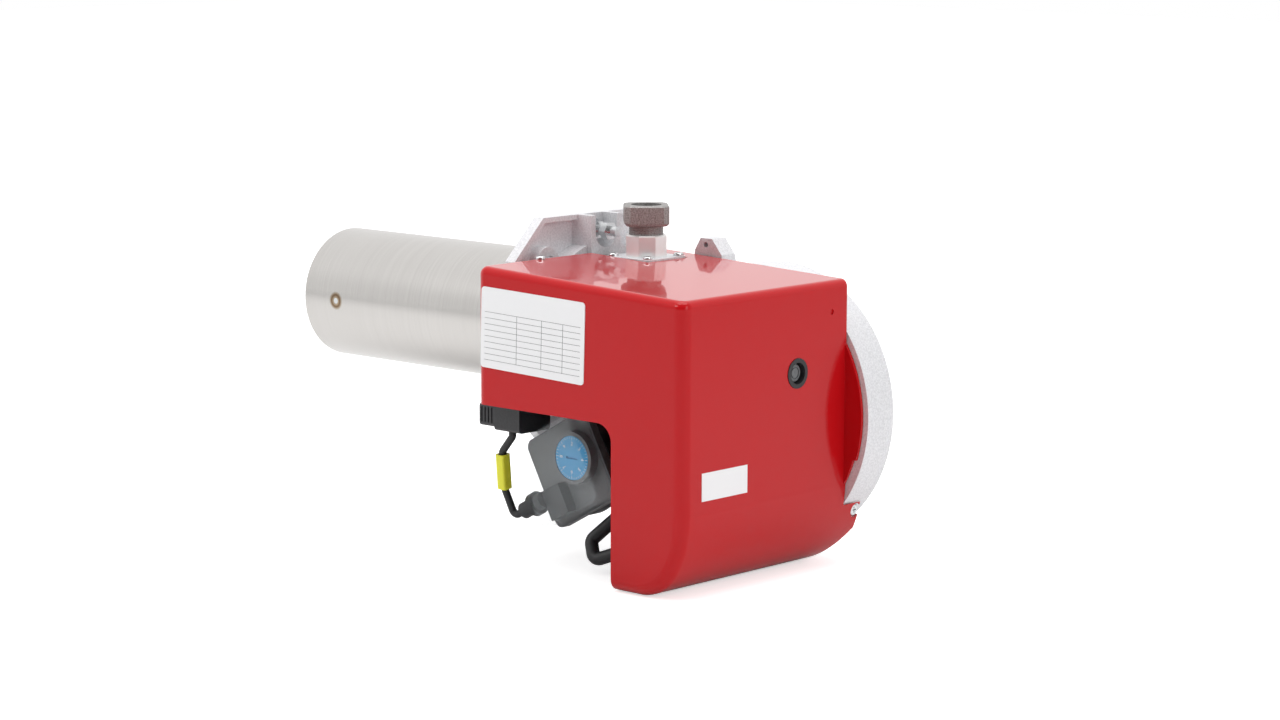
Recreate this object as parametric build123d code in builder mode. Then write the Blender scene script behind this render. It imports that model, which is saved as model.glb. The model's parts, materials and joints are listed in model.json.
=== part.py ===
"""Monobloc gas burner with a sliding boiler flange.

Frame: X runs along the blast tube, from the flame end (-X) to the back of the burner (+X).
-Y is the service side, +Y the air intake side and +Z is up.  The origin is on the tube's axis,
in the face of the flange that meets the boiler.
"""

import math
import os

from build123d import *

# ---------------------------------------------------------------- driving dimensions, mm
# blast tube and combustion head
tube_radius = 54.0
tube_wall = 1.5
tube_reach = 272.0
tube_root = 28.0
root_ring_thickness = 2.5
disc_setback = 38.0
disc_gap = 11.0
disc_thickness = 2.0
disc_slots = 12
lance_radius = 12.0
lance_bore = 9.5
nozzle_radius = 20.0
ceramic_radius = 3.5
rivet_radius = 2.5
rivet_clearance = 0.1
rivet_turns = (60, 180, 300)

# mounting flange
flange_half = 88.0
flange_corner = 32.0
flange_thickness = 10.0
flange_web = 4.0
collar_wall = 11.7
collar_reach = 20.0
slide_clearance = 0.3
bolt_circle = 150.0
bolt_hole = 11.0
tower_half = 17.0
tower_reach = 25.0
stud_height = 75.0
stud_radius = 4.0

# body casting
box_front = 28.0
box_rear = 90.0
box_near = -60.0
box_bottom = -60.0
box_top = 46.0
casting_wall = 4.0
drum_x = 145.0
drum_z = -56.0
drum_radius = 110.0
drum_near = 46.0
drum_far = 79.0
cover_thickness = 4.0

# hood
hood_front = 22.0
hood_rear = 234.0
hood_near = -142.4
hood_far = 44.5
hood_tail_far = 66.0
hood_top_front = 59.5
hood_top_rear = 50.5
hood_bottom = -172.0
hood_wall = 2.5
hood_step_x = 163.0
hood_step_z = -47.0
hood_step_radius = 14.0
hood_edge_radius = 9.0
hood_top_radius = 6.0
hood_relief = 111.0
hood_lip_radius = 105.5
reset_y = -13.5
reset_z = -15.3
reset_hole = 11.5

# gas inlet
gas_x = 65.0
gas_y = 3.0
gas_plate_size = 46.0
gas_plate_top = 58.0
gas_plate_thickness = 8.0
gas_octagon = 31.6
gas_octagon_top = 75.0
gas_neck_radius = 13.5
gas_block_size = 35.0
gas_block_bottom = 82.5
gas_block_top = 98.5
gas_bore = 12.1
riser_radius = 15.0
riser_bore = 10.5

# fan and motor
wheel_radius = 75.0
wheel_near = 52.0
wheel_far = 72.0
hub_radius = 13.0
blade_count = 36
blade_thickness = 1.2
motor_radius = 50.0
motor_near = -68.0
motor_wall = 4.0
shaft_radius = 6.0
bearing_radius = 16.0
bearing_width = 10.0
running_clearance = 0.05
hub_clearance = 0.02

# air intake and damper
intake_far = 103.0
intake_half_width = 58.0
intake_wall = 3.0
inlet_radius = 46.0
damper_y = 91.0
damper_shaft_radius = 4.0

# air pressure switch, turned about Y
switch_x = 80.0
switch_z = -97.0
switch_turn = 29.0
switch_width = 70.0
switch_height = 72.0
switch_front = -118.0
switch_cover_back = -98.0
switch_base_back = -91.0
chamber_radius = 37.0
chamber_back = -76.0
dial_x = 88.0
dial_z = -86.0
dial_radius = 17.0
dial_ring_radius = 20.4

# electrical parts
cable_radius = 3.0
thick_cable_radius = 5.2

# fasteners
screw_radius = 2.0

disc_x = -tube_reach + disc_setback
disc_radius = tube_radius - disc_gap
tube_bore = tube_radius - tube_wall
collar_radius = tube_radius + slide_clearance + collar_wall
root_ring_radius = tube_radius + 2
drum_pocket = drum_radius - casting_wall
motor_bore = motor_radius - motor_wall
nozzle_tail = disc_x + 16
ceramic_x = (disc_x - 6, disc_x + 62)
os.makedirs("parts", exist_ok=True)


def spoke(turn, inner, outer, radius):
    """A radial cylinder in the swirl disc's plane, its turn in degrees from +Y."""
    c, s = math.cos(math.radians(turn)), math.sin(math.radians(turn))
    return rod((disc_x, c * inner, s * inner), (disc_x, c * outer, s * outer), radius)


def across_x(x, y=0.0, z=0.0):
    """Plane looking along +X, with its own x along +Y and its own y along +Z."""
    return Plane((x, y, z), x_dir=(0, 1, 0), z_dir=(1, 0, 0))


def across_y(y, x=0.0, z=0.0):
    """Plane looking along -Y, with its own x along +X and its own y along +Z."""
    return Plane((x, y, z), x_dir=(1, 0, 0), z_dir=(0, -1, 0))


def rod(start, end, radius):
    """A plain cylinder between two points."""
    a, b = Vector(*start), Vector(*end)
    line = b - a
    return Solid.make_cylinder(radius, line.length, Plane(a, z_dir=line.normalized()))


def bar(x, y, z):
    """A box between two limits on every axis."""
    size = (x[1] - x[0], y[1] - y[0], z[1] - z[0])
    return Pos((x[0] + x[1]) / 2, (y[0] + y[1]) / 2, (z[0] + z[1]) / 2) * Box(*size)


def ring(start, end, outer, inner):
    """A tube between two points."""
    return Part() + rod(start, end, outer) - rod(start, end, inner)


def sweep_path(points, bend, radius):
    """A round cable through the points, with rounded corners."""
    path = FilletPolyline(*points, radius=bend)
    return sweep(Plane(path @ 0, z_dir=path % 0) * Circle(radius), path=path)


def pan_screw(point, out, length, radius=screw_radius):
    """A pan-head screw with a cross recess; `point` is the seat under the head."""
    place = Plane(Vector(*point), z_dir=Vector(*out))
    head = Solid.make_cylinder(radius * 2, radius * 1.25, place)
    body = Part() + head
    crown = [e for e in body.edges().filter_by(GeomType.CIRCLE)
             if (e.center() - place.origin).dot(place.z_dir) > radius]
    body = fillet(crown, radius * 0.75)
    recess = place * Pos(0, 0, radius * 1.25) * (Box(radius * 1.9, radius * 0.45, radius)
                                                 + Box(radius * 0.45, radius * 1.9, radius))
    shank = Solid.make_cylinder(radius, length, Plane(place.origin - place.z_dir * length, z_dir=place.z_dir))
    return body - recess + shank


def save(shape, name):
    """Labels a finished piece and writes its STEP file."""
    solids = shape.solids()
    shape = solids[0] if len(solids) == 1 else Compound(children=solids)
    shape.label = name
    export_step(shape, f"parts/{name}.step")
    print(name, len(solids), round(sum(s.volume for s in solids) / 1000, 2))


def screws(name, seats, length, radius=screw_radius):
    """One node of identical screws; every seat is a point and the way its head faces."""
    save(Compound(children=[pan_screw(p, o, length, radius).solids()[0] for p, o in seats]), name)


# ================================================================ mounting flange
with BuildPart() as flange:
    with BuildSketch(across_x(0)) as outline:
        Rectangle(2 * flange_half, 2 * flange_half)
        chamfer(outline.vertices(), flange_corner)
    extrude(amount=flange_thickness)
    with BuildSketch(across_x(flange_web)) as hollow:
        Rectangle(2 * flange_half - 8, 2 * flange_half - 8)
        chamfer(hollow.vertices(), flange_corner - 2)
    extrude(amount=flange_thickness, mode=Mode.SUBTRACT)
    with BuildSketch(across_x(0)):
        Circle(collar_radius)
    extrude(amount=collar_reach)
    for turn in (45, 135, 225, 315):
        with BuildSketch(across_x(0)):
            with PolarLocations(bolt_circle / 2 - 2, 1, start_angle=turn):
                SlotCenterToCenter(10, 21)
        extrude(amount=flange_thickness + 4)
    for turn in range(0, 360, 15):
        if turn % 90 in (15, 75) and turn not in (75, 105):
            with BuildSketch(across_x(0)):
                with PolarLocations(collar_radius + 10, 1, start_angle=turn):
                    Rectangle(26, 3)
            extrude(amount=flange_thickness)
    with BuildSketch(across_x(0)):
        with Locations((0, (tube_radius + flange_half) / 2)):
            Rectangle(2 * tower_half, flange_half - tube_radius)
    extrude(amount=tower_reach)
    with BuildSketch(across_x(flange_thickness)):
        with Locations((0, stud_height + 7)):
            SlotOverall(40, 2 * tower_half - 10, rotation=90)
    extrude(amount=tower_reach, mode=Mode.SUBTRACT)
    with BuildSketch(across_x(-1)):
        with Locations((0, stud_height)):
            Circle(stud_radius + 0.2)
        with Locations((0, 0)):
            Circle(tube_radius + slide_clearance)
        with PolarLocations(bolt_circle / 2, 4, start_angle=45):
            Circle(bolt_hole / 2)
    extrude(amount=60, mode=Mode.SUBTRACT)
    with BuildSketch(across_x(-1)):
        with Locations((0, stud_height)):
            Circle(8.5)
    extrude(amount=6, mode=Mode.SUBTRACT)
save(flange.part, "mounting_flange")

stud = Part() + rod((5.0, 0, stud_height), (38, 0, stud_height), stud_radius) \
    + across_x(1.0, 0, stud_height) * extrude(RegularPolygon(6.5, 6), amount=4.0)
save(stud, "clamp_stud")
save(ring((10, 0, stud_height), (11.6, 0, stud_height), 9, stud_radius + 0.2), "clamp_washer")
nut = across_x(11.6, 0, stud_height) * (extrude(RegularPolygon(7.5, 6), amount=6.5)
                                        + Pos(0, 0, 12) * extrude(RegularPolygon(7.5, 6), amount=6.5))
nut = Part() + nut - rod((0, 0, stud_height), (60, 0, stud_height), stud_radius)
save(nut, "clamp_nuts")

# ================================================================ blast tube
tube = ring((-tube_reach, 0, 0), (tube_root, 0, 0), tube_radius, tube_radius - tube_wall) \
    + ring((tube_root - root_ring_thickness, 0, 0), (tube_root, 0, 0), root_ring_radius, tube_radius - tube_wall)
for turn in rivet_turns:
    tube -= spoke(turn, tube_radius - 4, tube_radius + 6, rivet_radius + rivet_clearance)
save(tube, "blast_tube")
rivets = [spoke(turn, disc_radius + 2.5, tube_radius - 0.1, rivet_radius) for turn in rivet_turns]
save(Compound(children=rivets), "head_rivets")
spacer = ring((disc_x - 5, 0, 0), (disc_x + 5, 0, 0), tube_bore - 0.05, tube_bore - 3)
for turn in rivet_turns:
    spacer += spoke(turn, disc_radius - 0.5, tube_bore - 1.5, 4.6)
spacer -= rod((disc_x - 9, 0, 0), (disc_x + 9, 0, 0), disc_radius + 0.05)
for rivet in rivets:
    spacer -= rivet
save(spacer, "head_ring")

# swirl disc: a dished plate with raked slots round a gas hole
with BuildPart() as disc:
    with BuildSketch(across_x(disc_x - 3)):
        Circle(disc_radius)
    extrude(amount=disc_thickness)
    with BuildSketch(across_x(disc_x - 3 + disc_thickness)):
        Circle(disc_radius)
        Circle(disc_radius - 1.5, mode=Mode.SUBTRACT)
    extrude(amount=6)
    with BuildSketch(across_x(disc_x - 4)):
        Circle(nozzle_radius + 0.05)
        with PolarLocations(31, disc_slots):
            with Locations(Rotation(0, 0, 24)):
                SlotOverall(18, 2.4)
        with Locations((0, 26), (0, -30)):
            Circle(5)
    extrude(amount=4, mode=Mode.SUBTRACT)
save(disc.part, "swirl_disc")

# gas elbow in the casting, lance to the head and its nozzle
elbow = Part() + rod((gas_x, gas_y, -2), (gas_x, gas_y, 50), riser_radius) \
    + rod((gas_x, gas_y, 48), (gas_x, gas_y, 50), 18) + rod((gas_x, gas_y, -19), (gas_x, gas_y, 6), 18.5) \
    + rod((gas_x, 0, 0), (38, 0, 0), 15.5)
elbow -= rod((gas_x, gas_y, 0), (gas_x, gas_y, 51), riser_bore)
elbow -= rod((gas_x, 0, 0), (50, 0, 0), 9.4)
elbow -= rod((51.5, 0, 0), (30, 0, 0), lance_radius)
save(elbow, "gas_elbow")
lance = ring((nozzle_tail - 8, 0, 0), (51.5, 0, 0), lance_radius, lance_bore)
save(lance, "gas_lance")
nozzle = Part() + rod((disc_x - 12, 0, 0), (disc_x + 10, 0, 0), nozzle_radius) \
    + rod((disc_x + 10, 0, 0), (nozzle_tail + 6, 0, 0), 15)
nozzle -= rod((disc_x - 9, 0, 0), (nozzle_tail - 8, 0, 0), lance_bore)
nozzle -= rod((nozzle_tail - 8, 0, 0), (nozzle_tail + 7, 0, 0), lance_radius)
nozzle -= rod((disc_x - 9, 0, 0), (disc_x + 4, 0, 0), nozzle_radius - 3)
for i in range(12):
    c, s = math.cos(math.radians(30 * i)), math.sin(math.radians(30 * i))
    nozzle -= rod((disc_x - 13, 11 * c, 11 * s), (disc_x - 8, 11 * c, 11 * s), 1.5)
    nozzle -= rod((disc_x - 6.5, 0, 0), (disc_x - 6.5, 24 * c, 24 * s), 1.2)
save(nozzle, "gas_nozzle")

# an ignition electrode and a flame probe, in a clip on the lance
rods = [(0.0, 26.0), (0.0, -30.0)]
save(Compound(children=[ring((ceramic_x[0], y, z), (ceramic_x[1], y, z), ceramic_radius, 1.25) for y, z in rods]),
     "electrode_ceramics")
wires = []
for y, z in rods:
    tip = (ceramic_x[0] - 14, y + (0 if z > 0 else 4), z * 0.8)
    path = Polyline((ceramic_x[1] + 6, y, z), (ceramic_x[0] - 5, y, z), tip)
    wires.append(sweep(Plane(path @ 0, z_dir=path % 0) * Circle(1.2), path=path, transition=Transition.ROUND).solids()[0])
save(Compound(children=wires), "electrode_wires")
clip = ring((disc_x + 40, 0, 0), (disc_x + 48, 0, 0), 15, lance_radius)
for y, z in rods:
    clip += bar((disc_x + 40, disc_x + 48), (y - 4, y + 4), (min(z, 13 * z / abs(z)), max(z, 13 * z / abs(z))))
    clip += rod((disc_x + 40, y, z), (disc_x + 48, y, z), 6)
for y, z in rods:
    clip -= rod((disc_x + 30, y, z), (disc_x + 58, y, z), ceramic_radius)
save(clip, "electrode_clip")

# ================================================================ body casting
body = Part() + rod((drum_x, drum_near, drum_z), (drum_x, drum_far, drum_z), drum_radius)
body = fillet(body.edges().filter_by(GeomType.CIRCLE).sort_by(Axis.Y)[-1], 3)
body += bar((box_front, box_rear), (box_near, drum_far - 4), (box_bottom, box_top))
body += bar((gas_x - 23, gas_x + 23), (gas_y - 23, gas_y + 23), (box_top - 6, 50))
lug = across_y(drum_near) * make_face(Polyline((76, 20), (78, 60), (84, 70), (96, 70), (106, 58), (112, 30), close=True))
body += extrude(lug, amount=-16)
body += rod((drum_x, 36, drum_z), (drum_x, drum_near + 1, drum_z), motor_radius)
body -= rod((drum_x, drum_near + casting_wall, drum_z), (drum_x, drum_far - cover_thickness, drum_z), drum_pocket)
body -= rod((drum_x, drum_far - cover_thickness, drum_z), (drum_x, drum_far + 1, drum_z), drum_pocket)
body -= bar((box_front + casting_wall, box_rear - casting_wall), (box_near + casting_wall, drum_far - 8),
            (box_bottom + casting_wall, box_top - casting_wall))
body -= rod((box_front - 1, 0, 0), (box_front + 5, 0, 0), tube_radius - tube_wall)
body -= rod((gas_x, gas_y, 30), (gas_x, gas_y, 51), riser_radius + 0.1)
body -= rod((gas_x, gas_y, 48), (gas_x, gas_y, 51), 18.1)
body += bar((218, 226.4), (57, 67), (-135, -112))
body -= rod((219, 62, -131), (240, 62, -131), 2.52)
body -= rod((226.4, 62, -131), (240, 62, -131), 5.4)
body -= rod((89.5, 40, 65), (89.5, 54, 65), 2.2)
body -= rod((drum_x, 35, drum_z), (drum_x, 52, drum_z), bearing_radius)
for x in (46, 60):
    body -= rod((x, box_near - 1, 18), (x, box_near + 6, 18), 5.0)
for x in (50, 80):
    body -= rod((x, box_near - 1, -40), (x, box_near + 5, -40), screw_radius + 0.02)
save(body, "burner_body")

cover = ring((drum_x, drum_far - cover_thickness, drum_z), (drum_x, drum_far, drum_z), drum_pocket - 0.1, inlet_radius)
cover += ring((drum_x, wheel_far + 1, drum_z), (drum_x, drum_far, drum_z), inlet_radius + 3, inlet_radius)
save(cover, "scroll_cover")

# ================================================================ hood
def hood_block(shrink):
    """The hood's outside, or its inside when shrunk by the wall."""
    front, rear = hood_front + shrink, hood_rear - shrink
    top_f, top_r = hood_top_front - shrink, hood_top_rear - shrink
    near, low = hood_near + shrink, hood_bottom + shrink
    step_x = hood_step_x - (1 if shrink else 0)
    step_z = hood_step_z - (1 if shrink else 0)
    r = hood_step_radius - shrink
    profile = across_y(near) * make_face(Wire([
        Line((front, top_f), (rear, top_r)).edge(),
        Line((rear, top_r), (rear, -108)).edge(),
        Bezier((rear, -108), (rear - 2, low + 14), (206, low + 1), (190, low)).edge(),
        Line((190, low), (step_x, low)).edge(),
        Line((step_x, low), (step_x, step_z - r)).edge(),
        ThreePointArc((step_x, step_z - r), (step_x - r * (1 - 0.70711), step_z - r * (1 - 0.70711)),
                      (step_x - r, step_z)).edge(),
        Line((step_x - r, step_z), (front, step_z)).edge(),
        Line((front, step_z), (front, top_f)).edge(),
    ]))
    outline = across_x(0) * make_face(Polyline(
        (near, 80), (hood_far - shrink, 80), (hood_far - shrink, -66 - shrink * 0.4),
        (hood_tail_far - shrink, -111.5 - shrink * 0.4), (hood_tail_far - shrink, -146), (42, low), (near, low),
        close=True))
    if shrink:
        outline = across_x(0) * make_face(Polyline(
            (near, 80), (100, 80), (100, -138), (hood_tail_far - 2, -144), (41, low), (near, low), close=True))
    block = extrude(profile, amount=-(hood_tail_far + 4 - near)) & extrude(outline, amount=400)
    corners = block.edges().filter_by(Axis.Z).group_by(Axis.Y)[0]
    return fillet([e for e in corners if e.center().X < 100 or e.center().X > 200], hood_edge_radius - shrink)


outer = hood_block(0)
inner = hood_block(hood_wall)
hood = outer
crown = [e for e in hood.edges() if e.center().Z > 48 and abs(e.center().Y - hood_far) > 1
         and e.center().X > hood_front + 0.5]
hood = fillet(crown, hood_top_radius)
hood = hood - inner
hood -= bar((0, hood_front + 4), (-66, 100), (-200, 200))
hood -= bar((0, 88.3), (gas_y - 23.5, gas_y + 23.5), (30, 80))
hood -= bar((0, hood_step_x - hood_step_radius), (-60, 100), (-200, hood_step_z + 0.5))
hood -= rod((drum_x, 45.5, drum_z), (drum_x, 90, drum_z), hood_relief)
hood -= rod((200, reset_y, reset_z), (240, reset_y, reset_z), reset_hole)
lip = Part() + rod((drum_x, 43, drum_z), (drum_x, 45.5, drum_z), hood_lip_radius)
lip &= bar((hood_rear - hood_wall, 260), (40, 46), (-88, 30))
lower_lip = rod((drum_x, 43, drum_z), (drum_x, 45.5, drum_z), hood_lip_radius - 2.5)
lip += lower_lip & bar((hood_rear - hood_wall, 260), (40, 46), (-124, -80))
hood += lip
hood -= rod((hood_rear - 1, 26.6, 27.2), (hood_rear + 1, 26.6, 27.2), 2.2)
hood -= rod((28.5, -78, 40), (28.5, -78, 70), 2.2)
hood -= rod((200, 62, -131), (250, 62, -131), 5.6)
save(hood, "hood")

screws("hood_screws", [((28.5, -78, hood_top_front - 0.2), (0, 0, 1))], 7)
screws("hood_tail_screw", [((226.4, 62, -131), (1, 0, 0))], 7, 2.5)
plate = across_y(hood_near - 0.6) * Pos(82.25, 12, 0) * Rot(0, 0, -1.6) * RectangleRounded(108, 62, 3)
save(extrude(plate, amount=-0.6), "rating_plate")
sticker = bar((hood_rear, hood_rear + 0.3), (-121.5, -70.7), (-98, -77))
save(sticker, "rear_sticker")
posts = bar((box_front, 50), (-84, box_near), (30, 36)) + bar((25, 34), (-84, -72), (30, 56.2))
posts -= rod((28.5, -78, 45), (28.5, -78, 60), screw_radius + 0.02)
save(posts, "hood_bracket")

# ================================================================ gas inlet
plate = bar((gas_x - 23, gas_x + 23), (gas_y - 23, gas_y + 23), (gas_plate_top - gas_plate_thickness, gas_plate_top))
plate = fillet(plate.edges().filter_by(Axis.Z), 4)
plate -= rod((gas_x, gas_y, 40), (gas_x, gas_y, 60), riser_bore)
gas_seats = [(gas_x + dx, gas_y + dy) for dx in (-18, 18) for dy in (-18, 18)]
for x, y in gas_seats:
    plate -= rod((x, y, 40), (x, y, 60), screw_radius + 0.05)
save(plate, "gas_plate")
screws("gas_plate_screws", [((x, y, gas_plate_top), (0, 0, 1)) for x, y in gas_seats], 7.9)
adapter = Pos(gas_x, gas_y, gas_plate_top) * extrude(
    RegularPolygon(gas_octagon / 2, 8, major_radius=False, rotation=22.5), gas_octagon_top - gas_plate_top)
adapter = chamfer(adapter.faces().sort_by(Axis.Z)[-1].edges(), 0.8)
adapter -= rod((gas_x, gas_y, 50), (gas_x, gas_y, 90), riser_bore)
save(adapter, "gas_adapter")
coupling = Part() + rod((gas_x, gas_y, gas_octagon_top), (gas_x, gas_y, gas_block_bottom), gas_neck_radius)
for i in range(4):
    z = gas_octagon_top + 1.2 + 1.8 * i
    coupling -= ring((gas_x, gas_y, z), (gas_x, gas_y, z + 0.8), gas_neck_radius + 1, gas_neck_radius - 0.7)
block = Pos(gas_x, gas_y, gas_block_bottom) * extrude(
    Rot(0, 0, 45) * Rectangle(gas_block_size, gas_block_size), gas_block_top - gas_block_bottom)
block = chamfer(block.edges().filter_by(Axis.Z), 4.5)
block = chamfer(block.faces().sort_by(Axis.Z)[0].edges(), 2.0)
block = chamfer(block.faces().sort_by(Axis.Z)[-1].edges(), 1.0)
coupling += block
coupling -= rod((gas_x, gas_y, 70), (gas_x, gas_y, 110), gas_bore)
save(coupling, "gas_coupling")

# ================================================================ motor and fan
def axle(y0, y1, radius):
    """A cylinder on the fan's axis."""
    return rod((drum_x, y0, drum_z), (drum_x, y1, drum_z), radius)


motor = Part() + axle(motor_near + 12, 36, motor_radius)
for turn in range(0, 360, 15):
    c, s = math.cos(math.radians(turn)), math.sin(math.radians(turn))
    motor += Pos(drum_x + (motor_radius + 0.6) * c, -8, drum_z + (motor_radius + 0.6) * s) \
        * Rot(0, -turn, 0) * Box(3.4, 70, 1.6)
motor -= axle(motor_near + 11, 37, motor_bore)
save(motor, "motor_housing")
cap = Part() + axle(motor_near, motor_near + 12, motor_radius)
cap = fillet(cap.edges().filter_by(GeomType.CIRCLE).sort_by(Axis.Y)[0], 6)
cap += axle(motor_near + 12, motor_near + 16, motor_bore - 0.05)
cap -= axle(motor_near + 4, motor_near + 17, bearing_radius)
save(cap, "motor_cap")
stator = Part() + axle(-40, 22, motor_bore - 0.05) - axle(-41, 23, 28)
save(stator, "motor_stator")
bearings = Compound(children=[(Part() + axle(y, y + bearing_width, bearing_radius) - axle(y - 1, y + 11, shaft_radius + 0.02)).solids()[0]
                              for y in (motor_near + 5, 40)])
save(bearings, "motor_bearings")
rotor = Part() + axle(motor_near + 4.6, wheel_far - 4, shaft_radius) + axle(-38, 20, 27)
save(rotor, "motor_rotor")
capacitor = Part() + rod((150, -50, 8), (150, 14, 8), 11)
capacitor += bar((146, 154), (-36, -26), (-5, 0)) + bar((146, 154), (0, 10), (-5, 0))
save(capacitor - axle(-80, 40, motor_radius + 2.4), "capacitor")

with BuildPart() as wheel:
    with BuildSketch(across_y(wheel_near, drum_x, drum_z)):
        Circle(wheel_radius)
    extrude(amount=-1.6)
    with BuildSketch(across_y(wheel_near, drum_x, drum_z)):
        Circle(hub_radius)
    extrude(amount=-16)
    with BuildSketch(across_y(wheel_far - 1.6, drum_x, drum_z)):
        Circle(wheel_radius)
        Circle(wheel_radius - 14, mode=Mode.SUBTRACT)
    extrude(amount=-1.6)
    with BuildSketch(across_y(wheel_near + 1, drum_x, drum_z)):
        with PolarLocations(wheel_radius - 7.5, blade_count):
            with Locations(Rotation(0, 0, 32)):
                Rectangle(15, blade_thickness)
    extrude(amount=-(wheel_far - wheel_near - 1.8))
    with BuildSketch(across_y(40, drum_x, drum_z)):
        Circle(shaft_radius + hub_clearance)
    extrude(amount=-60, mode=Mode.SUBTRACT)
wheel_part = wheel.part & axle(wheel_near - 1, wheel_far + 1, wheel_radius)
wheel_part -= rod((drum_x, 63, drum_z), (drum_x, 63, drum_z + 20), 2.0)
save(wheel_part, "fan_wheel")
set_screw = rod((drum_x, 63, drum_z + shaft_radius), (drum_x, 63, drum_z + hub_radius - 0.5), 1.98)
save(Part() + set_screw, "fan_set_screw")

# ================================================================ air intake with its damper
def frame_box(y0, y1, half_x, half_z, radius):
    """A rounded block round the fan's axis."""
    return across_y(y0, drum_x, drum_z) * extrude(RectangleRounded(2 * half_x, 2 * half_z, radius), amount=-(y1 - y0))


intake = Part() + frame_box(drum_far, intake_far, intake_half_width, intake_half_width, 14)
intake -= frame_box(drum_far + 3, intake_far - intake_wall, intake_half_width - 3, intake_half_width - 3, 11)
intake -= axle(drum_far - 1, drum_far + 4, inlet_radius + 2)
for i in range(-4, 5):
    intake -= bar((drum_x - 40, drum_x + 40), (intake_far - 5, intake_far + 1), (drum_z + 10 * i - 2.8, drum_z + 10 * i + 2.8))
intake -= rod((drum_x, damper_y, drum_z - 70), (drum_x, damper_y, drum_z + 70), damper_shaft_radius + running_clearance)
for dx in (-50, 50):
    for dz in (-50, 50):
        x, z = drum_x + dx, drum_z + dz
        intake += rod((x, drum_far + 3, z), (x, intake_far - 3, z), 5)
        intake -= rod((x, intake_far - 9, z), (x, intake_far + 1, z), screw_radius + 0.02)
save(intake, "air_intake")
screws("intake_screws", [((drum_x + dx, intake_far, drum_z + dz), (0, 1, 0)) for dx in (-50, 50) for dz in (-50, 50)], 2.9)
flap = Part() + rod((drum_x, damper_y, drum_z - intake_half_width - 4), (drum_x, damper_y, drum_z + intake_half_width + 6), damper_shaft_radius)
flap += bar((drum_x - 8.4, drum_x + 8.4), (damper_y - 1, damper_y + 1), (drum_z - 44, drum_z + 44))
save(flap, "damper_flap")
top_z = drum_z + intake_half_width
knob = Part() + rod((drum_x, damper_y, top_z + 0.5), (drum_x, damper_y, top_z + 8), 9)
knob += bar((drum_x, drum_x + 26), (damper_y - 2.5, damper_y + 2.5), (top_z + 0.5, top_z + 4))
knob -= rod((drum_x, damper_y, top_z), (drum_x, damper_y, top_z + 6), damper_shaft_radius)
save(knob, "damper_lever")

# ================================================================ control box and reset button
control = bar((199, 228), (-52, 24), (-48, 42))
control = fillet(control.edges().filter_by(Axis.X), 3)
control -= rod((210, reset_y, reset_z), (229, reset_y, reset_z), 7.6)
save(control, "control_box")
base = bar((193, 199), (-56, 28), (-50, 44))
base += bar((150, 195), (24, drum_near), (0, 30))
save(base - axle(-80, 60, motor_radius + 3), "control_base")
grommet = ring((227, reset_y, reset_z), (234.6, reset_y, reset_z), reset_hole - 0.05, 8.2) \
    - bar((226, 228.0), (-40, 20), (-40, 10))
save(grommet, "reset_grommet")
button = Part() + rod((216, reset_y, reset_z), (231.5, reset_y, reset_z), 7.3)
button = chamfer(button.edges().filter_by(GeomType.CIRCLE).sort_by(Axis.X)[-1], 1.2)
button -= ring((230.7, reset_y, reset_z), (232, reset_y, reset_z), 4.6, 3.8)
save(button, "reset_button")

# ignition transformer beside the casting
transformer = bar((96, 176), (-126, -80), (4, 40))
transformer = fillet(transformer.edges(), 2.5)
transformer += rod((90, -96, 22), (97, -96, 22), 6) + rod((90, -110, 22), (97, -110, 22), 6)
save(transformer, "ignition_transformer")
tray = bar((box_front + 4, 182), (box_near - 2, box_near), (0, 8)) + bar((90, 182), (-128, box_near), (1.8, 4))
save(tray, "transformer_tray")
grommets = []
for x in (46, 60):
    grommet = Part() + rod((x, box_near - 4, 18), (x, box_near, 18), 7)
    grommet += rod((x, box_near - 1, 18), (x, box_near + 4, 18), 4.95)
    grommet -= rod((x, box_near - 10, 18), (x, box_near + 10, 18), 3)
    grommets.append(grommet.solids()[0])
save(Compound(children=grommets), "cable_grommets")
leads = []
for (x, y_out), (y, z) in zip(((46, -110), (60, -96)), rods):
    z_in = 24 if z > 0 else -30
    leads.append(sweep_path([(ceramic_x[1] + 6, y, z), (-60, y, z), (20, -30, z_in), (x - 6, -38, 18), (x, -52, 18),
                             (x, y_out + 12, 18), (x + 12, y_out, 22), (90, y_out, 22)], 5, 2.6).solids()[0])
save(Compound(children=leads), "ignition_leads")

# ================================================================ air pressure switch
switch_place = Plane((switch_x, 0, switch_z), x_dir=Vector(math.cos(math.radians(switch_turn)), 0, math.sin(math.radians(switch_turn))),
                     z_dir=(0, -1, 0))


def switch_slab(near, back, width, height, radius):
    """A rounded slab of the switch between two depths."""
    plane = Plane(switch_place.origin + Vector(0, back, 0), x_dir=switch_place.x_dir, z_dir=switch_place.z_dir)
    return plane * extrude(RectangleRounded(width, height, radius), amount=back - near)


down = Vector(switch_place.x_dir.Z, 0, -switch_place.x_dir.X)
left = Vector(-switch_place.x_dir.X, 0, -switch_place.x_dir.Z)
gland_root = switch_place.origin + left * (switch_width / 2 - 6) + down * 12 + Vector(0, -107.5, 0)
gland_end = gland_root + left * 24
case = switch_slab(switch_front, switch_cover_back, switch_width, switch_height, 7)
case = chamfer(case.faces().sort_by(Axis.Y)[0].edges(), 1.5)
case -= switch_slab(switch_front + 2, switch_cover_back + 1, switch_width - 4, switch_height - 4, 5)
case -= rod(tuple(gland_root + left * 2), tuple(gland_end), 6.6)
save(case, "switch_cover")
seat = switch_slab(switch_cover_back, switch_base_back, switch_width + 1, switch_height + 1, 7)
seat += rod((dial_x, switch_cover_back - 8, dial_z), (dial_x, switch_cover_back, dial_z), dial_ring_radius)
seat -= rod((dial_x, switch_cover_back - 9, dial_z), (dial_x, switch_cover_back - 3, dial_z), dial_radius + 0.3)
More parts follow.
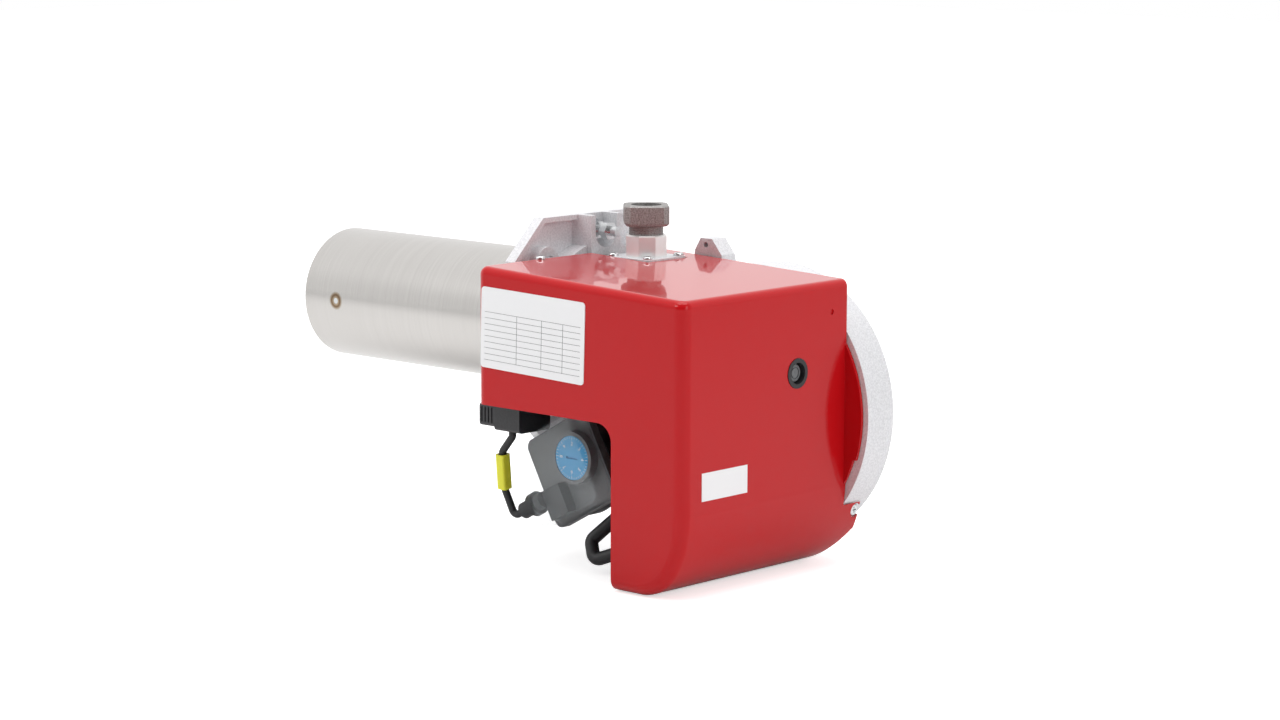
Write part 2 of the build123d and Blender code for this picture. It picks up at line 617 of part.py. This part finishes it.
seat -= rod((dial_x, switch_cover_back - 9, dial_z), (dial_x, switch_cover_back + 3, dial_z), 3.0 + running_clearance)
save(seat, "switch_base")
chamber = Part() + rod((switch_x, switch_base_back, switch_z), (switch_x, chamber_back, switch_z), chamber_radius)
chamber = fillet(chamber.edges().filter_by(GeomType.CIRCLE).sort_by(Axis.Y)[-1], 3)
chamber += rod((switch_x, chamber_back - 1, switch_z), (switch_x, box_near - 2.0, switch_z), 14)
save(chamber, "switch_chamber")
terminal_block = Plane(switch_place.origin + Vector(0, switch_cover_back, 0) + switch_place.x_dir * -19
                       + Vector(-switch_place.x_dir.Z, 0, switch_place.x_dir.X) * -18,
                       x_dir=switch_place.x_dir, z_dir=switch_place.z_dir) * Pos(0, 0, 5) * Box(20, 24, 10)
save(Part() + terminal_block, "switch_terminals")
dial = Part() + rod((dial_x, switch_cover_back - 7.5, dial_z), (dial_x, switch_cover_back - 3.3, dial_z), dial_radius)
dial += rod((dial_x, switch_cover_back - 3.4, dial_z), (dial_x, switch_cover_back + 2.7, dial_z), 3.0)
dial -= bar((dial_x - 6, dial_x + 6), (switch_cover_back - 9, switch_cover_back - 6), (dial_z - 0.8, dial_z + 0.8))
save(dial, "switch_dial")
bracket = bar((46, 86), (box_near - 2, box_near), (-116, -20))
for x in (50, 80):
    bracket -= rod((x, box_near - 3, -40), (x, box_near + 1, -40), screw_radius + 0.02)
save(bracket, "switch_bracket")
screws("bracket_screws", [((50, box_near - 2, -40), (0, -1, 0)), ((80, box_near - 2, -40), (0, -1, 0))], 5.5)

# gland, cables, marker and plug
gland = Part() + rod(tuple(gland_root), tuple(gland_end), 6.5)
gland = gland + rod(tuple(gland_root + left * 6.1), tuple(gland_root + left * 12), 9.3)
gland -= rod(tuple(gland_root - left), tuple(gland_end + left), cable_radius)
save(gland, "cable_gland")

# plug and socket under the front of the hood, on their bracket
shelf = bar((30, 44.5), (-126, box_near), (-46, -44.5)) + bar((30, 44.5), (box_near - 2, box_near), (-44.6, -24))
save(shelf, "socket_bracket")
socket = bar((27, 54), (-128, -94), (-69, -46))
socket = fillet(socket.edges().filter_by(Axis.X), 3)
for i in range(3):
    socket -= bar((26, 38), (-122 + 9 * i, -117 + 9 * i), (-62, -53))
save(socket, "socket")
plug = bar((10, 26.7), (-127, -95), (-67, -49))
plug = fillet(plug.edges().filter_by(Axis.X), 3)
for i in range(4):
    plug -= bar((12 + 3.6 * i, 13.4 + 3.6 * i), (-129, -126.2), (-64, -52))
plug += bar((26, 36), (-121, -118), (-60, -55))
plug += rod((3, -111, -58), (11, -111, -58), 7)
save(plug, "plug")

switch_cable = Part() + sweep_path([(33, -114, -69.05), (33, -114, -75), (22, -114, -88), (20.5, -110, -118),
                                    tuple(gland_end + left * 12), tuple(gland_end - left * 22)],
                                   4.5, cable_radius - 0.05)
save(switch_cable, "switch_cable")
thick_cable = sweep_path([(128, -68.05, -94), (128, -82, -94), (122, -84, -126), (105, -102, -148), (112, -106, -162),
                          (132, -100, -154), (160, -82, -118), (170, -82, -70), (170, -68.05, -70)], 6,
                         thick_cable_radius)
save(thick_cable, "motor_cable")
wire_a, wire_b = Vector(22, -114, -88), Vector(20.5, -110, -118)
wire = (wire_b - wire_a).normalized()
mid = wire_a + wire * 16
tag_plane = Plane(mid, x_dir=Vector(1, 0, 0) - wire * wire.X, z_dir=wire)
marker = extrude(tag_plane * RectangleRounded(9, 9, 2), amount=14, both=True)
marker -= rod(tuple(mid - wire * 20), tuple(mid + wire * 20), cable_radius + 0.6)
save(marker, "cable_marker")
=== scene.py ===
"""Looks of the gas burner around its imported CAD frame."""

import json
import math

import bmesh
import bpy
from mathutils import Matrix, Vector


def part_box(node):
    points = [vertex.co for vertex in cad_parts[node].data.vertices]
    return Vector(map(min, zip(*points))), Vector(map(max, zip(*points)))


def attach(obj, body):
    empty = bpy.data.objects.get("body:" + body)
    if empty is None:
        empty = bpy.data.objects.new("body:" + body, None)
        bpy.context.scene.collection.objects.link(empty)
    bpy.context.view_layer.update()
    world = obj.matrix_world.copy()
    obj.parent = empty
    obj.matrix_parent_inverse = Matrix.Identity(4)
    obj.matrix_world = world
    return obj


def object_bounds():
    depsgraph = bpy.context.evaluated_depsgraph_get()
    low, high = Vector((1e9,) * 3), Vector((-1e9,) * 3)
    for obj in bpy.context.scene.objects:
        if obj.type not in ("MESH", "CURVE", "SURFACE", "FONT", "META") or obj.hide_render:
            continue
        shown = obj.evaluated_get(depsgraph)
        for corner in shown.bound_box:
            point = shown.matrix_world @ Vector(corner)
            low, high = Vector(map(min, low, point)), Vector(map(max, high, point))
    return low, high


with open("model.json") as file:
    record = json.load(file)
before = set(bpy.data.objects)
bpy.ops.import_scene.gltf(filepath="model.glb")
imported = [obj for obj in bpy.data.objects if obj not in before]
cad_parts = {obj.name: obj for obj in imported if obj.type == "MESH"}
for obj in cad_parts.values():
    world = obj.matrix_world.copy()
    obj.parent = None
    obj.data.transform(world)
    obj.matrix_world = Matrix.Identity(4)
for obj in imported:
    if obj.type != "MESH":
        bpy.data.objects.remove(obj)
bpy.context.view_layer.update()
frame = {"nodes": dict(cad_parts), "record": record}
MM = 0.001
tube_radius = 54 * MM
print_depth = 0.1 * MM


# ---------------------------------------------------------------- shader helpers
def new_material(name, colour, roughness, metallic=0.0, coat=0.0, alpha=1.0):
    """A plain material; its shader and its node tree come back with it."""
    material = bpy.data.materials.new(name)
    material.use_nodes = True
    tree = material.node_tree
    shader = tree.nodes["Principled BSDF"]
    shader.inputs["Base Color"].default_value = (*colour, 1.0)
    shader.inputs["Roughness"].default_value = roughness
    shader.inputs["Metallic"].default_value = metallic
    shader.inputs["Coat Weight"].default_value = coat
    shader.inputs["Coat Roughness"].default_value = 0.03
    shader.inputs["Alpha"].default_value = alpha
    return material, shader, tree


def plain(name, colour, roughness, metallic=0.0):
    """A material with one even colour and gloss."""
    return new_material(name, colour, roughness, metallic)[0]


def object_coordinates(tree, scale=(1.0, 1.0, 1.0)):
    """Object coordinates through a Mapping node."""
    place = tree.nodes.new("ShaderNodeTexCoord")
    mapping = tree.nodes.new("ShaderNodeMapping")
    mapping.inputs["Scale"].default_value = scale
    tree.links.new(place.outputs["Object"], mapping.inputs["Vector"])
    return mapping.outputs["Vector"]


def noise(tree, vector, scale, detail=3.0):
    """A noise texture's grey output."""
    texture = tree.nodes.new("ShaderNodeTexNoise")
    texture.inputs["Scale"].default_value = scale
    texture.inputs["Detail"].default_value = detail
    tree.links.new(vector, texture.inputs["Vector"])
    return texture.outputs["Fac"]


def ramp(tree, value, stops):
    """A colour ramp over a value; stops are (place, colour)."""
    node = tree.nodes.new("ShaderNodeValToRGB")
    while len(node.color_ramp.elements) < len(stops):
        node.color_ramp.elements.new(0.5)
    for element, (place, colour) in zip(node.color_ramp.elements, stops):
        element.position = place
        element.color = (*colour, 1.0)
    tree.links.new(value, node.inputs["Fac"])
    return node.outputs["Color"]


def map_range(tree, value, target, source=(0.0, 1.0)):
    """A value carried from one range to another."""
    node = tree.nodes.new("ShaderNodeMapRange")
    node.inputs["From Min"].default_value, node.inputs["From Max"].default_value = source
    node.inputs["To Min"].default_value, node.inputs["To Max"].default_value = target
    tree.links.new(value, node.inputs["Value"])
    return node.outputs["Result"]


def times(tree, value, factor):
    """A value multiplied by a number."""
    node = tree.nodes.new("ShaderNodeMath")
    node.operation = "MULTIPLY"
    node.inputs[1].default_value = factor
    tree.links.new(value, node.inputs[0])
    return node.outputs["Value"]


def bump(tree, shader, value, strength, distance):
    """Relief from a grey value."""
    node = tree.nodes.new("ShaderNodeBump")
    node.inputs["Strength"].default_value = strength
    node.inputs["Distance"].default_value = distance
    tree.links.new(value, node.inputs["Height"])
    tree.links.new(node.outputs["Normal"], shader.inputs["Normal"])


# ---------------------------------------------------------------- materials
def grained(name, light, dark, roughness, metallic, scale, strength, distance=0.0004):
    """A finish with fine sandy grain, as on a casting or a moulded case."""
    material, shader, tree = new_material(name, light, roughness, metallic)
    grain = noise(tree, object_coordinates(tree), scale)
    colour = ramp(tree, grain, [(0.3, dark), (0.7, light)])
    tree.links.new(colour, shader.inputs["Base Color"])
    bump(tree, shader, grain, strength, distance)
    return material


def brushed_tube(spot):
    """Stainless sheet brushed round the tube, with a heat-tinted ring round one spot."""
    material, shader, tree = new_material("brushed stainless", (0.62, 0.6, 0.57), 0.3, 1.0)
    brushing = noise(tree, object_coordinates(tree, (900.0, 6.0, 6.0)), 1.0, detail=4.0)
    colour = ramp(tree, brushing, [(0.3, (0.6, 0.58, 0.56)), (0.7, (0.65, 0.63, 0.61))])
    gloss = map_range(tree, brushing, (0.22, 0.28))
    tree.links.new(gloss, shader.inputs["Roughness"])
    distance = tree.nodes.new("ShaderNodeVectorMath")
    distance.operation = "DISTANCE"
    place = tree.nodes.new("ShaderNodeTexCoord")
    tree.links.new(place.outputs["Object"], distance.inputs[0])
    distance.inputs[1].default_value = spot
    centimetres_away = times(tree, distance.outputs["Value"], 100.0)
    tint = ramp(tree, centimetres_away, [(0.3, (0.75, 0.62, 0.45)), (0.5, (0.28, 0.17, 0.1)),
                                        (0.62, (0.6, 0.5, 0.38)), (0.8, (1.0, 1.0, 1.0))])
    mix = tree.nodes.new("ShaderNodeMix")
    mix.data_type = "RGBA"
    mix.blend_type = "MULTIPLY"
    mix.inputs["Factor"].default_value = 1.0
    tree.links.new(colour, mix.inputs["A"])
    tree.links.new(tint, mix.inputs["B"])
    tree.links.new(mix.outputs["Result"], shader.inputs["Base Color"])
    return material


def gloss_paint():
    """Deep red stove enamel under a clear, glossy top layer."""
    material, shader, _ = new_material("gloss red paint", (0.5, 0.004, 0.007), 0.3, coat=1.0)
    shader.inputs["Specular IOR Level"].default_value = 0.05
    shader.inputs["Coat IOR"].default_value = 1.3
    return material


def clear_plastic():
    """The see-through cover of the pressure switch."""
    material, shader, _ = new_material("clear cover", (0.7, 0.75, 0.77), 0.05, alpha=0.08)
    shader.inputs["IOR"].default_value = 1.5
    return material


finish_of = {
    "stainless": plain("stainless", (0.6, 0.58, 0.55), 0.28, 1.0),
    "cast_aluminium": grained("sand-cast aluminium", (0.84, 0.84, 0.86), (0.66, 0.66, 0.68),
                              roughness=0.5, metallic=0.35, scale=700.0, strength=0.35),
    "machined_aluminium": plain("machined aluminium", (0.92, 0.92, 0.91), 0.3, 0.6),
    "zinc_steel": plain("zinc-plated steel", (0.72, 0.73, 0.74), 0.22, 1.0),
    "dark_coupling": grained("blasted coupling", (0.4, 0.385, 0.375), (0.2, 0.19, 0.185),
                             roughness=0.5, metallic=0.5, scale=900.0, strength=0.6),
    "hood_red": gloss_paint(),
    "label_white": plain("label foil", (0.86, 0.86, 0.87), 0.35),
    "black_paint": plain("black paint", (0.02, 0.02, 0.022), 0.35),
    "black_plastic": grained("black moulded plastic", (0.025, 0.025, 0.028), (0.015, 0.015, 0.017),
                             roughness=0.42, metallic=0.0, scale=500.0, strength=0.1),
    "grey_plastic": grained("grey moulded plastic", (0.16, 0.165, 0.17), (0.11, 0.115, 0.12),
                            roughness=0.45, metallic=0.0, scale=500.0, strength=0.1),
    "clear_cover": clear_plastic(),
    "blue_dial": plain("blue dial", (0.03, 0.34, 0.66), 0.4),
    "ceramic": plain("glazed ceramic", (0.85, 0.83, 0.78), 0.2),
    "cable_black": plain("black cable", (0.018, 0.018, 0.02), 0.5),
    "marker_yellow": plain("yellow marker", (0.78, 0.76, 0.03), 0.35),
    "wheel_steel": plain("galvanised steel", (0.55, 0.56, 0.57), 0.35, 0.9),
    "winding": plain("laminations", (0.35, 0.2, 0.1), 0.45, 0.5),
}
ink = plain("dark print", (0.06, 0.06, 0.07), 0.5)
white = plain("white scale", (0.85, 0.86, 0.87), 0.4)

slot_of = {part["node"]: part["material_slot"] for part in frame["record"]["subparts"]}
for node, piece in frame["nodes"].items():
    piece.data.materials.clear()
    piece.data.materials.append(finish_of[slot_of[node]])
rivet_low, rivet_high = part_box("head_rivets")
near_rivet = ((rivet_low[0] + rivet_high[0]) / 2, -tube_radius, 0.0)
frame["nodes"]["blast_tube"].data.materials[0] = brushed_tube(near_rivet)


# ---------------------------------------------------------------- modelling helpers
def hang_piece(name, data, material, body):
    """Puts a mesh in the scene as a piece that rides a body, in one finish."""
    data.materials.clear()
    data.materials.append(material)
    piece = bpy.data.objects.new(name, data)
    bpy.context.scene.collection.objects.link(piece)
    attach(piece, body)


def finish_piece(name, mesh, material, body="burner"):
    """Turns a bmesh into a piece."""
    bmesh.ops.recalc_face_normals(mesh, faces=mesh.faces)
    data = bpy.data.meshes.new(name)
    mesh.to_mesh(data)
    mesh.free()
    hang_piece(name, data, material, body)


def block(mesh, centre, size, turn):
    """A turned box in a bmesh."""
    matrix = Matrix.Translation(centre) @ turn @ Matrix.Diagonal((*size, 1.0))
    bmesh.ops.create_cube(mesh, size=1.0, matrix=matrix)


def turned_text(name, words, size, place, material, body):
    """Plain characters as a thin mesh."""
    curve = bpy.data.curves.new(name, "FONT")
    curve.body = words
    curve.size = size
    curve.extrude = print_depth / 2
    curve.align_x = "CENTER"
    curve.align_y = "CENTER"
    holder = bpy.data.objects.new(name + "_text", curve)
    bpy.context.scene.collection.objects.link(holder)
    bpy.context.view_layer.update()
    data = bpy.data.meshes.new_from_object(holder.evaluated_get(bpy.context.evaluated_depsgraph_get()))
    bpy.data.objects.remove(holder)
    data.transform(place)
    hang_piece(name, data, material, body)


# ---------------------------------------------------------------- rating plate: ruled lines only
rule_length, rule_width = 100 * MM, 0.22 * MM
top_rule, rule_pitch, rule_count = 12, 4.6, 9
column_places, column_middle, column_height = (-16, 10, 32), -6.5, 37 * MM
plate_turn = Matrix.Rotation(math.radians(1.6), 4, "Y")
plate_low, plate_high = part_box("rating_plate")
plate_centre = Vector(((plate_low[0] + plate_high[0]) / 2, plate_low[1] - print_depth / 2,
                       (plate_low[2] + plate_high[2]) / 2))


def on_plate(along, up):
    """A point on the rating plate, from its middle, in millimetres."""
    return plate_centre + plate_turn.to_3x3() @ Vector((along * MM, 0.0, up * MM))


rules = bmesh.new()
for row in range(rule_count):
    middle = on_plate(0, top_rule - rule_pitch * row)
    block(rules, middle, (rule_length, print_depth, rule_width), plate_turn)
for along in column_places:
    block(rules, on_plate(along, column_middle), (rule_width, print_depth, column_height), plate_turn)
finish_piece("rating_rules", rules, ink)

# ---------------------------------------------------------------- pressure switch dial
ring_outer, ring_inner, ring_setback = 20.2 * MM, 17.6 * MM, 0.45 * MM
tick_count, ticks_per_long, tick_width = 40, 5, 0.35 * MM
long_tick, short_tick, tick_reach, tick_lift = 2.2 * MM, 1.3 * MM, 16.2 * MM, 0.04 * MM
number_count, first_number, number_size, number_reach = 8, 2, 4.2 * MM, 11 * MM
dial_low, dial_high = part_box("switch_dial")
dial_centre = Vector(((dial_low[0] + dial_high[0]) / 2, dial_low[1], (dial_low[2] + dial_high[2]) / 2))
to_front = math.radians(90)


def on_dial(angle, reach, lift):
    """A point in front of the dial, by its angle from the top and its reach from the middle."""
    return dial_centre + Vector((math.sin(angle) * reach, -lift, math.cos(angle) * reach))


# the white ring lies on the switch's raised seat, round the dial
ring = bmesh.new()
bmesh.ops.create_circle(ring, segments=64, radius=ring_outer)
inward = bmesh.ops.extrude_edge_only(ring, edges=list(ring.edges))
inner_verts = [vert for vert in inward["geom"] if isinstance(vert, bmesh.types.BMVert)]
shrink = ring_inner / ring_outer
bmesh.ops.scale(ring, verts=inner_verts, vec=(shrink, shrink, 1.0))
bmesh.ops.rotate(ring, verts=ring.verts, cent=(0, 0, 0), matrix=Matrix.Rotation(to_front, 3, "X"))
bmesh.ops.translate(ring, verts=ring.verts, vec=(dial_centre.x, dial_low[1] + ring_setback, dial_centre.z))
bmesh.ops.solidify(ring, geom=list(ring.faces), thickness=print_depth)
finish_piece("dial_ring", ring, white)

ticks = bmesh.new()
for step in range(tick_count):
    angle = math.radians(360 / tick_count * step)
    length = long_tick if step % ticks_per_long == 0 else short_tick
    middle = on_dial(angle, tick_reach - length / 2, tick_lift)
    block(ticks, middle, (tick_width, print_depth, length), Matrix.Rotation(angle, 4, "Y"))
finish_piece("dial_ticks", ticks, white, "switch_dial")

for step in range(number_count):
    angle = math.radians(360 / number_count * step)
    spot = Matrix.Translation(on_dial(angle, number_reach, print_depth))
    place = spot @ Matrix.Rotation(angle, 4, "Y") @ Matrix.Rotation(to_front, 4, "X")
    turned_text(f"dial_number_{step}", str(first_number + step), number_size, place, white,
                "switch_dial")

# ---------------------------------------------------------------- floor
floor_half, floor_gap, floor_glow = 8.0, 0.5 * MM, 0.6
object_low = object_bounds()[0]
floor_mesh = bmesh.new()
bmesh.ops.create_grid(floor_mesh, x_segments=1, y_segments=1, size=floor_half,
                      matrix=Matrix.Translation((0, 0, object_low[2] - floor_gap)))
floor_data = bpy.data.meshes.new("floor")
floor_mesh.to_mesh(floor_data)
floor_mesh.free()
floor = bpy.data.objects.new("floor", floor_data)
bpy.context.scene.collection.objects.link(floor)
floor_finish, floor_shader, floor_tree = new_material("white floor", (0.86, 0.86, 0.86), 0.9)
seen = floor_tree.nodes.new("ShaderNodeLightPath")
floor_shader.inputs["Emission Color"].default_value = (1.0, 1.0, 1.0, 1.0)
floor_tree.links.new(times(floor_tree, seen.outputs["Is Camera Ray"], floor_glow),
                     floor_shader.inputs["Emission Strength"])
floor_data.materials.append(floor_finish)

# ---------------------------------------------------------------- room: white to the eye, dimmer towards the front
front_direction = (0.667, -0.730, 0.151)
world = bpy.data.worlds.new("studio")
bpy.context.scene.world = world
world.use_nodes = True
world_tree = world.node_tree
background = world_tree.nodes["Background"]
background.inputs["Color"].default_value = (1.0, 1.0, 1.0, 1.0)
rays = world_tree.nodes.new("ShaderNodeLightPath")
direction = world_tree.nodes.new("ShaderNodeTexCoord")
frontness = world_tree.nodes.new("ShaderNodeVectorMath")
frontness.operation = "DOT_PRODUCT"
frontness.inputs[1].default_value = front_direction
world_tree.links.new(direction.outputs["Generated"], frontness.inputs[0])
room = map_range(world_tree, frontness.outputs["Value"], target=(1.0, 0.18), source=(-0.1, 0.8))
level = world_tree.nodes.new("ShaderNodeMath")
level.operation = "MAXIMUM"
world_tree.links.new(rays.outputs["Is Camera Ray"], level.inputs[0])
world_tree.links.new(room, level.inputs[1])
world_tree.links.new(level.outputs["Value"], background.inputs["Strength"])


# ---------------------------------------------------------------- lamps
def softbox(name, place, width, height, watts):
    """A rectangular studio lamp aimed at the origin."""
    lamp = bpy.data.lights.new(name, "AREA")
    lamp.shape = "RECTANGLE"
    lamp.size = width
    lamp.size_y = height
    lamp.energy = watts
    holder = bpy.data.objects.new(name, lamp)
    holder.location = place
    holder.rotation_euler = (-Vector(place)).to_track_quat("-Z", "Y").to_euler()
    bpy.context.scene.collection.objects.link(holder)


softbox("overhead", (0.1, -0.1, 2.0), width=2.0, height=1.4, watts=26)
softbox("left", (-0.9, -2.0, 1.5), width=1.2, height=0.8, watts=14)
softbox("right", (2.2, -0.3, 0.9), width=0.9, height=1.4, watts=12)

# ---------------------------------------------------------------- camera
yaw, pitch, roll, reach = 0.7406, 0.1517, 0.0033, 2.4664
target = Vector((0.1165, -0.060, -0.0124))
camera_data = bpy.data.cameras.new("camera")
camera_data.lens = 90.9
camera = bpy.data.objects.new("camera", camera_data)
back = Vector((math.sin(yaw) * math.cos(pitch), -math.cos(yaw) * math.cos(pitch), math.sin(pitch)))
camera.matrix_world = (Matrix.Translation(target + back * reach)
                       @ back.to_track_quat("Z", "Y").to_matrix().to_4x4() @ Matrix.Rotation(roll, 4, "Z"))
bpy.context.scene.collection.objects.link(camera)
bpy.context.scene.camera = camera
bpy.context.scene.view_settings.view_transform = "Standard"
